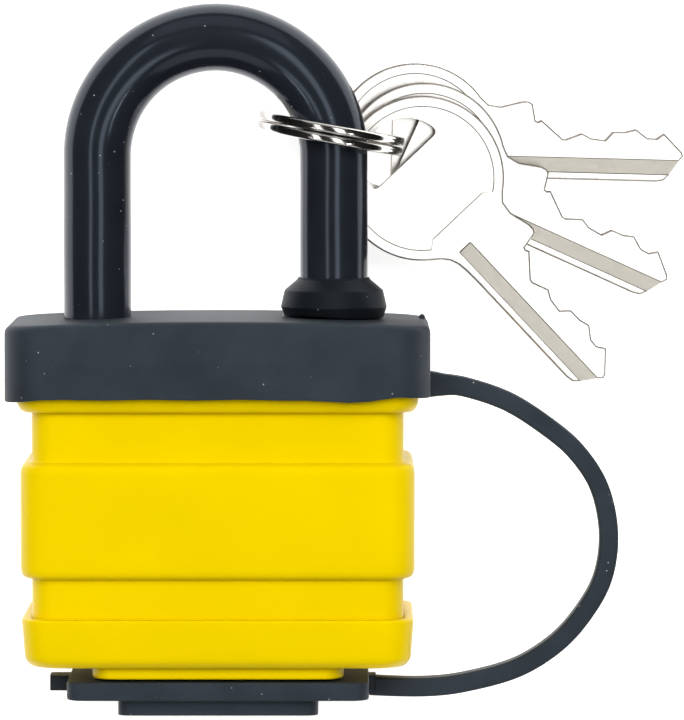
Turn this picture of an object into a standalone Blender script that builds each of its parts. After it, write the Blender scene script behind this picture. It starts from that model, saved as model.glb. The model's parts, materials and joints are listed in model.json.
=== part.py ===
"""Weatherproof laminated padlock, lying on its back, with three keys on a split ring.

Sizes are in millimetres and become metres as each mesh is made. X runs across the lock, Y up
along the shackle, and Z from the back of the lock to its front. The origin is the centre of the
back face of the case's middle band.
"""
import math

import bmesh
import bpy
import numpy as np
from mathutils import Vector

MM = 0.001
GAP = 0.3              # clearance between two pieces that touch or slide

# --- driving dimensions: jacket and case ---
CASE_HALF_DEPTH = 12.75
BAND_HALF_WIDTH, BAND_HALF_HEIGHT, BAND_STEP = 23.0, 6.9, 1.2
NECK_HALF_WIDTH, NECK_HALF_DEPTH = 21.7, 11.5
FLANGE_HALF_WIDTH, FLANGE_HALF_DEPTH = 23.4, 12.9
FLANGE_BOTTOM, FLANGE_TOP, CASE_TOP = 12.7, 15.9, 19.0
CASE_WALL = 1.5
CASE_TAIL_STEP = 0.5   # how much the neck steps in where the base cup takes it
CAP_HALF_WIDTH, CAP_HALF_DEPTH, CAP_BOTTOM, CAP_TOP = 24.8, 14.2, 14.5, 23.4
CAP_CROWN, CAP_ROOF, CAP_ROUND = 0.6, 3.0, 0.9
BASE_HALF_WIDTH, BASE_HALF_DEPTH, BASE_TOP, BASE_BOTTOM = 22.9, 12.65, -11.45, -17.15
BASE_TAPER, BASE_FLOOR, BASE_ROUND = 0.35, 1.9, 1.0
BOSS_HALF_WIDTH, BOSS_HALF_DEPTH, BOSS_HEIGHT = 14.7, 10.5, 1.45
KEYWAY_HALF_WIDTH, KEYWAY_HALF_DEPTH = 8.6, 4.6
COVER_HALF_WIDTH, COVER_HALF_DEPTH, COVER_SLAB = 17.65, 11.2, 2.1
PAD_HALF_WIDTH, PAD_HALF_DEPTH, PAD_HEIGHT = 11.7, 9.6, 1.9
SPIGOT_HEIGHT = 3.4
TAB_LEFT, TAB_RIGHT, TAB_HALF_DEPTH = 20.0, 18.5, 1.8
STRAP_THICKNESS, STRAP_DEPTH = 2.4, 3.2
BAND_CORNER, NECK_CORNER, CAP_CORNER, CORE_CORNER = 3.2, 2.8, 4.5, 2.6

# --- driving dimensions: shackle ---
MID_Z = CASE_HALF_DEPTH
CORE_X = -0.4          # the core and shackle sit to the left in the play of the case
LEG_SPACING_HALF = 13.93
ROD_RADIUS, SLEEVE_RADIUS, SLEEVE_WALL = 3.2, 3.985, 0.48
BEND_Y = 42.3
HEEL_BOTTOM, TOE_BOTTOM = -5.9, 9.0
HEEL_BLOCK, HEEL_NECK_TOP, HEEL_NECK_RADIUS = 4.0, 17.5, 2.0
NOTCH_DEPTH = 2.0
SEAL_HEIGHT, SEAL_WAIST_HEIGHT = 4.1, 2.75
SEAL_TOP_RADIUS, SEAL_WAIST_RADIUS, SEAL_BASE_RADIUS = 4.2, 5.8, 6.25

# --- driving dimensions: laminated core and cylinder ---
PLATES, PLATE_PITCH, PLATE_THICKNESS, CORE_BOTTOM = 11, 3.1, 2.8, -14.35
CORE_HALF_WIDTH, CORE_HALF_DEPTH = 19.6, 9.6
RIVET_X, RIVET_Z, RIVET_RADIUS, RIVET_HEAD_RADIUS, RIVET_HEAD = 17.1, 6.9, 1.3, 2.1, 0.28
HOUSING_RADIUS, BIBLE_END, BIBLE_HALF = 6.2, 12.6, 2.5
PLUG_RADIUS, PLUG_FACE, SHOULDER_RADIUS, TANG_HALF_X, TANG_HALF_Z = 4.5, -13.6, 2.4, 1.2, 0.8
KEYWAY_SLOT_LOW, KEYWAY_SLOT_HIGH, KEYWAY_SLOT_HALF = -3.4, 3.3, 1.1
PIN_COUNT, PIN_PITCH, FIRST_PIN_Y, PIN_RADIUS = 4, 3.7, -8.3, 0.95
KEY_PIN_LENGTHS = (1.6, 1.2, 1.9, 1.4)
DRIVER_LENGTH, PIN_CLEARANCE, PIN_SPRING_WIRE = 2.6, 0.25, 0.14
CLIP_RADIUS, CLIP_THICKNESS = 4.9, 0.7
LATCH_LEVEL, CAM_RADIUS, LATCH_THROW, CAM_MARGIN = 8, 2.2, 2.0, math.radians(12)
LATCH_BACK, LATCH_SHOULDER, LATCH_HALF_DEPTH, LATCH_NOSE_HALF = -6.2, 8.0, 5.6, 2.5
LATCH_RAIL, LATCH_WINDOW_START, LATCH_SPRING_START = 0.8, -5.0, -9.6
HEEL_PIN_RADIUS, HEEL_PIN_HALF = 0.9, 8.2

# --- driving dimensions: ring and keys ---
RING_RADIUS, RING_WIRE_RADIAL, RING_WIRE_AXIAL = 8.78, 1.25, 1.07
RING_SHIFT, RING_Y, RING_PLAY = 0.37, 44.86, 0.5    # the ring lies left of its leg's axis
RING_SLOPE, RING_LEAN, RING_STEP_ANGLE = math.radians(10.7), math.radians(-0.4), math.radians(22)
KEY_THICKNESS, KEY_GAP, KEY_TILT = 1.75, 0.2, math.radians(4.8)
KEY_DIRECTIONS = (math.radians(-46.8), math.radians(-24.4), math.radians(-1.6))
KEY_REACH, KEY_SIDE = (5.1, 5.1, 5.0), (0.3, 0.5, 0.5)     # ring wire from the bow's centre
BOW_RADIUS, KEY_HOLE_RADIUS, KEY_HOLE_CHORD = 9.78, 5.1, 2.7
SHANK_START, SHOULDER_TOP, BLADE_START, KEY_TIP = 13.7, 5.5, 14.5, 32.3
BLADE_LOW, BLADE_HIGH = -3.6, 2.8
CUT_COUNT, CUT_PITCH, CUT_DEPTHS = 4, 3.6, (1.2, 0.6, 1.5, 0.9)

HEEL_X, TOE_X = CORE_X - LEG_SPACING_HALF, CORE_X + LEG_SPACING_HALF
FINISHES = {
    "yellow_abs": ((0.90, 0.66, 0.0, 1), 0.38, 0.0),
    "black_rubber": ((0.045, 0.052, 0.06, 1), 0.62, 0.0),
    "black_sleeve": ((0.012, 0.013, 0.016, 1), 0.3, 0.0),
    "hardened_steel": ((0.46, 0.47, 0.48, 1), 0.35, 1.0),
    "rolled_steel": ((0.36, 0.37, 0.38, 1), 0.45, 1.0),
    "brass": ((0.72, 0.52, 0.22, 1), 0.32, 1.0),
    "nickel_plate": ((0.78, 0.77, 0.75, 1), 0.2, 1.0),
    "spring_steel": ((0.5, 0.5, 0.52, 1), 0.3, 1.0),
}


def finish(name):
    """One Principled material per finish, made the first time it is asked for."""
    if name not in bpy.data.materials:
        made = bpy.data.materials.new(name)
        made.use_nodes = True
        shader = made.node_tree.nodes["Principled BSDF"]
        colour, roughness, metallic = FINISHES[name]
        shader.inputs["Base Color"].default_value = colour
        shader.inputs["Roughness"].default_value = roughness
        shader.inputs["Metallic"].default_value = metallic
    return bpy.data.materials[name]


def solid(name, points, faces, finish_name, pivot=(0, 0, 0)):
    """A closed mesh whose points are in millimetres and whose origin sits at the pivot."""
    mesh = bpy.data.meshes.new(name)
    mesh.from_pydata([(Vector(p) - Vector(pivot)) * MM for p in points], [], faces)
    tidy = bmesh.new()
    tidy.from_mesh(mesh)
    bmesh.ops.recalc_face_normals(tidy, faces=tidy.faces)
    tidy.to_mesh(mesh)
    tidy.free()
    mesh.shade_smooth()
    mesh.set_sharp_from_angle(angle=math.radians(35))
    mesh.materials.append(finish(finish_name))
    piece = bpy.data.objects.new(name, mesh)
    piece.location = Vector(pivot) * MM
    bpy.context.scene.collection.objects.link(piece)
    return piece


def skin(name, rows, finish_name, closed=False, pivot=(0, 0, 0)):
    """Skins a stack of outlines with equal counts; open stacks get a flat cap at each end."""
    count = len(rows[0])
    points = [tuple(p) for row in rows for p in row]
    faces = []
    spans = len(rows) if closed else len(rows) - 1
    for row in range(spans):
        here, above = row * count, (row + 1) % len(rows) * count
        for k in range(count):
            after = (k + 1) % count
            faces.append((here + k, here + after, above + after, above + k))
    if not closed:
        faces.append(tuple(range(count)))
        faces.append(tuple(range((len(rows) - 1) * count, len(rows) * count)))
    return solid(name, points, faces, finish_name, pivot)


def rounded(half_a, half_b, radius, steps=5):
    """A rectangle with arc corners, of 4 x steps points, flat sides exactly at the half sizes."""
    lean = math.pi / 4 / steps
    points = []
    for quarter, (side_a, side_b) in enumerate(((1, 1), (-1, 1), (-1, -1), (1, -1))):
        for k in range(steps):
            angle = quarter * math.pi / 2 + lean * (2 * k + 1)
            points.append((side_a * (half_a - radius * math.cos(lean)) + radius * math.cos(angle),
                           side_b * (half_b - radius * math.cos(lean)) + radius * math.sin(angle)))
    return points


def circle(radius, count=16):
    """A regular polygon whose corners lie on the circle, a corner half a step off each axis."""
    turns = [(k + 0.5) * math.tau / count for k in range(count)]
    return [(radius * math.cos(t), radius * math.sin(t)) for t in turns]


def level(outline, y, x=0.0, z=MID_Z):
    """An outline laid flat at height y on the lock's own axis."""
    return [(x + a, y, z + b) for a, b in outline]


def upright(name, outline, low, high, finish_name, x=0.0, z=MID_Z, pivot=(0, 0, 0)):
    """A straight prism along Y."""
    rows = [level(outline, low, x, z), level(outline, high, x, z)]
    return skin(name, rows, finish_name, pivot=pivot)


def crosswise(name, outline, low, high, y, z, finish_name, pivot=(0, 0, 0)):
    """A straight prism along X, its outline given as (y, z) about the point y, z."""
    rows = [[(x, y + a, z + b) for a, b in outline] for x in (low, high)]
    return skin(name, rows, finish_name, pivot=pivot)


def box_outline(low_a, high_a, low_b, high_b):
    return [(low_a, low_b), (high_a, low_b), (high_a, high_b), (low_a, high_b)]


def tool(piece):
    """Marks a piece as a cutter or a block to be joined, which is no part of the lock."""
    piece.hide_render = True
    piece.display_type = "WIRE"
    return piece


def carve(piece, *cutters, operation="DIFFERENCE"):
    """Takes each cutter out of the piece, or joins it on."""
    for cutter in cutters:
        step = piece.modifiers.new(cutter.name, "BOOLEAN")
        step.object = cutter
        step.operation = operation
        step.solver = "EXACT"


def tube(name, centres, across, upward, half_across, half_up, finish_name, sides=8,
         closed=False, pivot=(0, 0, 0)):
    """A rounded bar along centres; across and upward are its unit section axes at each point."""
    turns = [(k + 0.5) * math.tau / sides for k in range(sides)]
    rows = []
    for k, centre in enumerate(centres):
        wide = half_across[k] if hasattr(half_across, "__len__") else half_across
        tall = half_up[k] if hasattr(half_up, "__len__") else half_up
        rows.append([centre + wide * math.cos(t) * across[k] + tall * math.sin(t) * upward[k]
                     for t in turns])
    return skin(name, rows, finish_name, closed, pivot)


def coil_spring(name, start, along, length, radius, wire, turns, finish_name):
    """A wire helix from start along an axis, its ends cut square."""
    along = np.array(along, dtype=float)
    side = np.array((0.0, 0.0, 1.0)) if abs(along[2]) < 0.5 else np.array((1.0, 0.0, 0.0))
    other = np.cross(along, side)
    steps = int(turns * 8)
    centres, radial, rise = [], [], []
    for k in range(steps + 1):
        angle = k / steps * turns * math.tau
        out = math.cos(angle) * side + math.sin(angle) * other
        travel = wire + (length - 2 * wire) * k / steps
        centres.append(np.array(start) + out * radius + along * travel)
        radial.append(out)
        rise.append(along)
    return tube(name, centres, radial, rise, wire, wire, finish_name, sides=4)


def turned(name, profile, finish_name, x=0.0, y=0.0, z=MID_Z, closed=False, count=16,
           pivot=(0, 0, 0)):
    """Turns (radius, height) pairs about the Y direction."""
    rows = [level(circle(radius, count), y + height, x, z) for radius, height in profile]
    return skin(name, rows, finish_name, closed, pivot)


def plate_low(index):
    return CORE_BOTTOM + index * PLATE_PITCH


def smooth_route(points, per_span=4):
    """A Catmull-Rom curve through the given points, as an array of centres."""
    knots = np.array([(2 * points[0][0] - points[1][0], 2 * points[0][1] - points[1][1])]
                     + list(points)
                     + [(2 * points[-1][0] - points[-2][0], 2 * points[-1][1] - points[-2][1])])
    route = []
    for k in range(1, len(knots) - 2):
        before, here, after, beyond = knots[k - 1:k + 3]
        for t in np.arange(per_span) / per_span:
            route.append(0.5 * (2 * here + (after - before) * t
                                + (2 * before - 5 * here + 4 * after - beyond) * t ** 2
                                + (3 * here - before - 3 * after + beyond) * t ** 3))
    route.append(knots[-2])
    return np.array(route)


for old in list(bpy.data.objects):
    bpy.data.objects.remove(old)

# --- yellow case: one moulded tube with a flange lip, a raised band and a stepped tail ---
case_inner_width = NECK_HALF_WIDTH - CASE_WALL
case_inner_depth = NECK_HALF_DEPTH - CASE_WALL
tail_width, tail_depth = NECK_HALF_WIDTH - CASE_TAIL_STEP, NECK_HALF_DEPTH - CASE_TAIL_STEP
base_inner_floor = BASE_BOTTOM + BASE_FLOOR
tail_bottom = base_inner_floor + GAP
neck = rounded(NECK_HALF_WIDTH, NECK_HALF_DEPTH, NECK_CORNER)
band = rounded(BAND_HALF_WIDTH, CASE_HALF_DEPTH, BAND_CORNER)
tail = rounded(tail_width, tail_depth, NECK_CORNER)
bore = rounded(case_inner_width, case_inner_depth, NECK_CORNER - 0.4)
flange = rounded(FLANGE_HALF_WIDTH, FLANGE_HALF_DEPTH, BAND_CORNER)
flange_edge = rounded(FLANGE_HALF_WIDTH - 0.7, FLANGE_HALF_DEPTH - 0.6, BAND_CORNER)
skin("case_shell", [
    level(tail, tail_bottom), level(tail, BASE_TOP + GAP), level(neck, BASE_TOP + GAP),
    level(neck, -BAND_HALF_HEIGHT), level(band, -BAND_HALF_HEIGHT + BAND_STEP),
    level(band, BAND_HALF_HEIGHT - BAND_STEP), level(neck, BAND_HALF_HEIGHT),
    level(neck, FLANGE_BOTTOM), level(flange_edge, FLANGE_BOTTOM),
    level(flange, FLANGE_BOTTOM + 1.0), level(flange, FLANGE_TOP), level(neck, FLANGE_TOP),
    level(neck, CASE_TOP), level(bore, CASE_TOP), level(bore, tail_bottom),
], "yellow_abs", closed=True)

# --- yellow base cup with the keyway boss under it ---
base_rim = rounded(BASE_HALF_WIDTH, BASE_HALF_DEPTH, BAND_CORNER)
base_rim_in = rounded(tail_width + GAP, tail_depth + GAP, NECK_CORNER)
base_low = rounded(BASE_HALF_WIDTH - BASE_TAPER, BASE_HALF_DEPTH - BASE_TAPER, BAND_CORNER)
base_under = rounded(BASE_HALF_WIDTH - BASE_TAPER - BASE_ROUND,
                     BASE_HALF_DEPTH - BASE_TAPER - BASE_ROUND, BAND_CORNER)
boss = rounded(BOSS_HALF_WIDTH, BOSS_HALF_DEPTH, 2.5)
keyway = rounded(KEYWAY_HALF_WIDTH, KEYWAY_HALF_DEPTH, 1.5)
boss_bottom = BASE_BOTTOM - BOSS_HEIGHT
skin("case_base", [
    level(base_rim_in, BASE_TOP), level(base_rim, BASE_TOP),
    level(base_low, BASE_BOTTOM + BASE_ROUND), level(base_under, BASE_BOTTOM),
    level(boss, BASE_BOTTOM), level(boss, boss_bottom), level(keyway, boss_bottom),
    level(keyway, base_inner_floor), level(base_rim_in, base_inner_floor),
], "yellow_abs", closed=True)

# --- rubber top cover: a crowned cap over the flange, pierced for both legs ---
cap_cavity = rounded(FLANGE_HALF_WIDTH + GAP, FLANGE_HALF_DEPTH + GAP, BAND_CORNER)
cap_side = rounded(CAP_HALF_WIDTH, CAP_HALF_DEPTH, CAP_CORNER)
cap_rows = [level(cap_cavity, CAP_TOP - CAP_ROOF), level(cap_cavity, CAP_BOTTOM),
            level(cap_side, CAP_BOTTOM), level(cap_side, CAP_TOP - CAP_CROWN - CAP_ROUND)]
for angle in (math.radians(45), math.radians(90)):
    inset = CAP_ROUND * (1 - math.cos(angle))
    cap_rows.append(level(rounded(CAP_HALF_WIDTH - inset, CAP_HALF_DEPTH - inset, CAP_CORNER),
                          CAP_TOP - CAP_CROWN - CAP_ROUND * (1 - math.sin(angle))))
for share in (0.72, 0.4):
    half = share * CAP_HALF_WIDTH
    cap_rows.append(level(rounded(half, CAP_HALF_DEPTH - CAP_ROUND, CAP_CORNER),
                          CAP_TOP - CAP_CROWN * share ** 2))
top_cover = skin("top_cover", cap_rows, "black_rubber")
leg_hole = ROD_RADIUS + 0.35
cap_holes = [tool(turned(name, [(leg_hole + 0.1, CORE_BOTTOM), (leg_hole + 0.1, CAP_TOP + 3)],
                         "black_rubber", x=x))
             for name, x in (("heel_cap_cutter", HEEL_X), ("toe_cap_cutter", TOE_X))]
carve(top_cover, *cap_holes)

# --- rubber keyway cover: spigot, slab and lower pad, with a tab at each end ---
slab_top = boss_bottom - GAP
slab_bottom = slab_top - COVER_SLAB
spigot = rounded(KEYWAY_HALF_WIDTH - GAP, KEYWAY_HALF_DEPTH - GAP, 1.3)
slab = rounded(COVER_HALF_WIDTH, COVER_HALF_DEPTH, 1.6)
pad = rounded(PAD_HALF_WIDTH, PAD_HALF_DEPTH, 1.4)
keyway_cover = skin("keyway_cover", [
    level(spigot, slab_top + SPIGOT_HEIGHT), level(spigot, slab_top), level(slab, slab_top),
    level(slab, slab_bottom), level(pad, slab_bottom), level(pad, slab_bottom - PAD_HEIGHT),
], "black_rubber", pivot=(0, slab_top, MID_Z))
tab_inside = COVER_HALF_WIDTH - 1.0
tab_mid = (slab_top + slab_bottom) / 2
tabs = [tool(upright(name, box_outline(low, high, -TAB_HALF_DEPTH, TAB_HALF_DEPTH),
                     tab_mid - 0.9, tab_mid + 0.9, "black_rubber"))
        for name, low, high in (("left_tab_block", -TAB_LEFT, -tab_inside),
                                ("right_tab_block", tab_inside, TAB_RIGHT))]
carve(keyway_cover, *tabs, operation="UNION")

# --- rubber strap: a flat band from the cap's lower right corner round to the cover ---
strap_start_y = CAP_BOTTOM + 0.8
strap_end_y = tab_mid - 0.75
strap_route = smooth_route([
    (CAP_HALF_WIDTH + GAP, strap_start_y), (29.0, 15.0), (34.0, 13.3), (38.6, 10.4), (42.2, 7.3),
    (44.9, 3.1), (46.0, -2.2), (45.4, -7.3), (43.3, -11.4), (40.0, -15.2), (35.3, -18.2),
    (29.4, -19.9), (24.6, strap_end_y), (TAB_RIGHT + GAP, strap_end_y)])
strap_heading = np.gradient(strap_route, axis=0)
strap_heading /= np.linalg.norm(strap_heading, axis=1)[:, None]
strap_heading[0] = strap_heading[-1] = (1, 0)
strap_heading[-1] = (-1, 0)
half_thick, half_deep = STRAP_THICKNESS / 2, STRAP_DEPTH / 2
strap_rows = []
for (x, y), (along_x, along_y) in zip(strap_route, strap_heading):
    out_x, out_y = along_y, -along_x
    strap_rows.append([(x + a * out_x, y + a * out_y, MID_Z + b)
                       for a, b in rounded(half_thick, half_deep, 0.5, steps=2)])
skin("strap", strap_rows, "black_rubber")

# --- shackle: steel rod, plastic sleeve and the seal on the toe leg ---
def shackle_path(heel_end, toe_end, extra=()):
    """Centres up the heel leg, over the bend and down the toe leg, with the path's normals."""
    path = [(HEEL_X, y) for y in (heel_end,) + tuple(extra)]
    turns = np.linspace(math.pi, 0, 17)
    path += [(CORE_X + LEG_SPACING_HALF * math.cos(t), BEND_Y + LEG_SPACING_HALF * math.sin(t))
             for t in turns]
    path.append((TOE_X, toe_end))
    outward = ([(-1.0, 0.0)] * (1 + len(extra)) + [(math.cos(t), math.sin(t)) for t in turns]
               + [(1.0, 0.0)])
    return path, outward


rest_pivot = (HEEL_X, CAP_TOP, MID_Z)
neck_bottom = HEEL_BOTTOM + HEEL_BLOCK
path, outward = shackle_path(HEEL_BOTTOM, TOE_BOTTOM,
                             (neck_bottom, neck_bottom, HEEL_NECK_TOP, HEEL_NECK_TOP))
rod_radii = ([ROD_RADIUS] * 2 + [HEEL_NECK_RADIUS] * 2 + [ROD_RADIUS] * (len(path) - 4))
centres = [np.array((x, y, MID_Z)) for x, y in path]
across = [np.array((x, y, 0.0)) for x, y in outward]
upward = [np.array((0.0, 0.0, 1.0))] * len(path)
shackle = tube("shackle_rod", centres, across, upward, rod_radii, rod_radii, "hardened_steel",
               sides=14, pivot=rest_pivot)
latch_low = plate_low(LATCH_LEVEL) + GAP
latch_high = plate_low(LATCH_LEVEL) + PLATE_THICKNESS - GAP
notch_outline = box_outline(-ROD_RADIUS - 1, -ROD_RADIUS + NOTCH_DEPTH + GAP, -4.5, 4.5)
notch = tool(upright("toe_notch_cutter", notch_outline, latch_low - 0.4, latch_high + 0.4,
                     "hardened_steel", x=TOE_X))
carve(shackle, notch)

seal_low = CAP_TOP + GAP
seal_high = seal_low + SEAL_HEIGHT
sleeve_path, sleeve_out = shackle_path(CAP_TOP + GAP, seal_high + GAP)
sleeve_rows = []
for radius, order in ((SLEEVE_RADIUS, 1), (SLEEVE_RADIUS - SLEEVE_WALL, -1)):
    for (x, y), (out_x, out_y) in list(zip(sleeve_path, sleeve_out))[::order]:
        sleeve_rows.append([(x + a * out_x, y + a * out_y, MID_Z + b)
                            for a, b in circle(radius, 14)])
skin("shackle_sleeve", sleeve_rows, "black_sleeve", closed=True, pivot=rest_pivot)
seal_bore = ROD_RADIUS + GAP
turned("shackle_seal", [
    (seal_bore, seal_low), (SEAL_BASE_RADIUS - 0.4, seal_low), (SEAL_BASE_RADIUS, seal_low + 0.7),
    (SEAL_WAIST_RADIUS, seal_low + SEAL_WAIST_HEIGHT), (SEAL_TOP_RADIUS, seal_high), (seal_bore, seal_high),
], "black_rubber", x=TOE_X, closed=True, count=20, pivot=(TOE_X, seal_low, MID_Z))

# --- laminated core: punched steel plates held by four rivets ---
core_outline = rounded(CORE_HALF_WIDTH, CORE_HALF_DEPTH, CORE_CORNER, steps=3)
plate_top = plate_low(PLATES - 1) + PLATE_THICKNESS


def upright_cutter(name, outline, low, high, x=CORE_X):
    return tool(upright(name, outline, low, high, "rolled_steel", x=x))


def cylinder_outline(grow, count=12):
    """A round barrel with a straight-sided pin chamber towards +X, grown by a clearance."""
    radius, half = HOUSING_RADIUS + grow, BIBLE_HALF + grow
    start = math.asin(half / radius)
    arc = np.linspace(start, math.tau - start, count)
    points = [(radius * math.cos(t), radius * math.sin(t)) for t in arc]
    return points + [(BIBLE_END + grow, -half), (BIBLE_END + grow, half)]


core_end = plate_top + 2
heel_hole = upright_cutter("heel_hole_cutter", circle(leg_hole, 12), plate_low(1) - 1, core_end,
                           x=HEEL_X)
toe_hole = upright_cutter("toe_hole_cutter", circle(leg_hole, 12), plate_low(LATCH_LEVEL - 1) - 1,
                          core_end, x=TOE_X)
barrel_hole = upright_cutter("barrel_hole_cutter", cylinder_outline(GAP), plate_low(1) - 0.1,
                             plate_low(6) + PLATE_THICKNESS + 0.1)
face_hole = upright_cutter("face_hole_cutter", circle(PLUG_RADIUS + 0.4), CORE_BOTTOM - 1,
                           plate_low(1) - 0.1)
clip_hole = upright_cutter("clip_hole_cutter", circle(CLIP_RADIUS + 0.7),
                           plate_low(LATCH_LEVEL - 1) - 0.1, plate_low(LATCH_LEVEL) - 0.1)
slot_end = TOE_X - CORE_X - ROD_RADIUS + NOTCH_DEPTH
latch_slot = upright_cutter(
    "latch_slot_cutter",
    box_outline(LATCH_SPRING_START - GAP, slot_end, -LATCH_HALF_DEPTH - GAP,
                LATCH_HALF_DEPTH + GAP),
    plate_low(LATCH_LEVEL) - 0.1, plate_low(LATCH_LEVEL) + PLATE_THICKNESS + 0.1)
heel_pin_x = HEEL_X + HEEL_NECK_RADIUS + GAP + HEEL_PIN_RADIUS
pin_level = LATCH_LEVEL + 1
pin_slot = upright_cutter(
    "heel_pin_slot_cutter",
    box_outline(-HEEL_PIN_RADIUS - GAP, HEEL_PIN_RADIUS + GAP, -HEEL_PIN_HALF - GAP,
                HEEL_PIN_HALF + GAP),
    plate_low(pin_level) - 0.1, plate_low(pin_level) + PLATE_THICKNESS + 0.1, x=heel_pin_x)
rivet_places = [(CORE_X + side * RIVET_X, MID_Z + way * RIVET_Z)
                for side in (-1, 1) for way in (-1, 1)]
rivet_holes = [tool(turned(f"rivet_hole_cutter_{k + 1}",
                           [(RIVET_RADIUS + GAP, CORE_BOTTOM - 1), (RIVET_RADIUS + GAP, core_end)],
                           "rolled_steel", x=x, z=z, count=8))
               for k, (x, z) in enumerate(rivet_places)]
for index in range(PLATES):
    low = plate_low(index)
    plate = upright(f"plate_{index + 1:02d}", core_outline, low, low + PLATE_THICKNESS,
                    "rolled_steel", x=CORE_X)
    carve(plate, *rivet_holes)
    if index == 0:
        carve(plate, face_hole)
    else:
        carve(plate, heel_hole)
    if 1 <= index <= 6:
        carve(plate, barrel_hole)
    if index == LATCH_LEVEL - 1:
        carve(plate, clip_hole)
    if index >= LATCH_LEVEL - 1:
        carve(plate, toe_hole)
    if index == LATCH_LEVEL:
        carve(plate, latch_slot)
    if index == pin_level:
        carve(plate, pin_slot)
rivet_low, rivet_high = CORE_BOTTOM - GAP, plate_top + GAP
for k, (x, z) in enumerate(rivet_places):
    turned(f"rivet_{k + 1}", [
        (RIVET_HEAD_RADIUS * 0.7, rivet_low - RIVET_HEAD), (RIVET_HEAD_RADIUS, rivet_low),
        (RIVET_RADIUS, rivet_low), (RIVET_RADIUS, rivet_high), (RIVET_HEAD_RADIUS, rivet_high),
        (RIVET_HEAD_RADIUS * 0.7, rivet_high + RIVET_HEAD),
    ], "hardened_steel", x=x, z=z, count=8)

# --- pin cylinder: housing, plug, clip and cam on the plug's tang ---
housing_low, housing_high = plate_low(1) + 0.05, plate_low(6) + PLATE_THICKNESS - GAP
housing = upright("cylinder_housing", cylinder_outline(0.0), housing_low, housing_high, "brass",
                  x=CORE_X)
plug_bore = upright_cutter("plug_bore_cutter", circle(PLUG_RADIUS + 0.15, 20), housing_low - 1,
                           housing_high + 1)
pin_heights = [FIRST_PIN_Y + k * PIN_PITCH for k in range(PIN_COUNT)]
shear_x = CORE_X + PLUG_RADIUS
pin_bores = [tool(crosswise(f"pin_bore_cutter_{k + 1}", circle(PIN_RADIUS + PIN_CLEARANCE, 8),
                            CORE_X + PLUG_RADIUS - 1, CORE_X + BIBLE_END + 1, y, MID_Z, "brass"))
             for k, y in enumerate(pin_heights)]
carve(housing, plug_bore, *pin_bores)

plug_top = housing_high + 0.15
tang_top = latch_high - 0.2
plug_pivot = (CORE_X, PLUG_FACE, MID_Z)
plug_turn = circle(PLUG_RADIUS, 20)
shoulder = circle(SHOULDER_RADIUS, 20)
clip_low, clip_high = plug_top + GAP, plug_top + GAP + CLIP_THICKNESS
tang = rounded(TANG_HALF_X, TANG_HALF_Z, 0.3)
plug = skin("plug", [
    level(plug_turn, PLUG_FACE, CORE_X), level(plug_turn, plug_top, CORE_X),
    level(shoulder, plug_top, CORE_X), level(shoulder, clip_high + GAP, CORE_X),
    level(tang, clip_high + GAP, CORE_X), level(tang, tang_top, CORE_X),
], "brass", pivot=plug_pivot)
slot_cutter = upright_cutter(
    "keyway_slot_cutter",
    box_outline(KEYWAY_SLOT_LOW, KEYWAY_SLOT_HIGH, -KEYWAY_SLOT_HALF, KEYWAY_SLOT_HALF),
    PLUG_FACE - 1, plug_top - 1.2)
plug_pin_bores = [tool(crosswise(f"plug_pin_cutter_{k + 1}", circle(PIN_RADIUS + PIN_CLEARANCE, 8),
                                 CORE_X + 1.5, shear_x + 1, y, MID_Z, "brass"))
                  for k, y in enumerate(pin_heights)]
carve(plug, slot_cutter, *plug_pin_bores)
clip_turns = np.linspace(math.radians(35), math.radians(325), 15)
clip_rows = []
for t in clip_turns:
    clip_rows.append([(CORE_X + r * math.cos(t), h, MID_Z + r * math.sin(t))
                      for r, h in ((SHOULDER_RADIUS + GAP, clip_low), (CLIP_RADIUS, clip_low),
                                   (CLIP_RADIUS, clip_high), (SHOULDER_RADIUS + GAP, clip_high))])
skin("plug_clip", clip_rows, "spring_steel", pivot=plug_pivot)

for k, (y, length) in enumerate(zip(pin_heights, KEY_PIN_LENGTHS)):
    key_pin_end = shear_x - 0.2
    crosswise(f"key_pin_{k + 1}", circle(PIN_RADIUS, 8), key_pin_end - length, key_pin_end, y,
              MID_Z, "brass", pivot=plug_pivot)
    driver_start = shear_x + 0.35
    crosswise(f"driver_pin_{k + 1}", circle(PIN_RADIUS, 8), driver_start,
              driver_start + DRIVER_LENGTH, y, MID_Z, "hardened_steel")
    spring_start = driver_start + DRIVER_LENGTH + 0.2
    coil_spring(f"pin_spring_{k + 1}", (spring_start, y, MID_Z), (1, 0, 0),
                CORE_X + BIBLE_END - 0.2 - spring_start, PIN_RADIUS - PIN_CLEARANCE,
                PIN_SPRING_WIRE, 4, "spring_steel")

# --- latch: the cam in its window throws it into the toe's notch ---
def cam_reach(angle):
    """Spiral radius: it grows evenly with angle over the quarter turn and a margin each side."""
    turned_by = (angle + CAM_MARGIN) % math.tau
    if turned_by > math.pi / 2 + 2 * CAM_MARGIN:
        return CAM_RADIUS - 0.2
    return CAM_RADIUS + LATCH_THROW * (turned_by - CAM_MARGIN) / (math.pi / 2)


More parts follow.
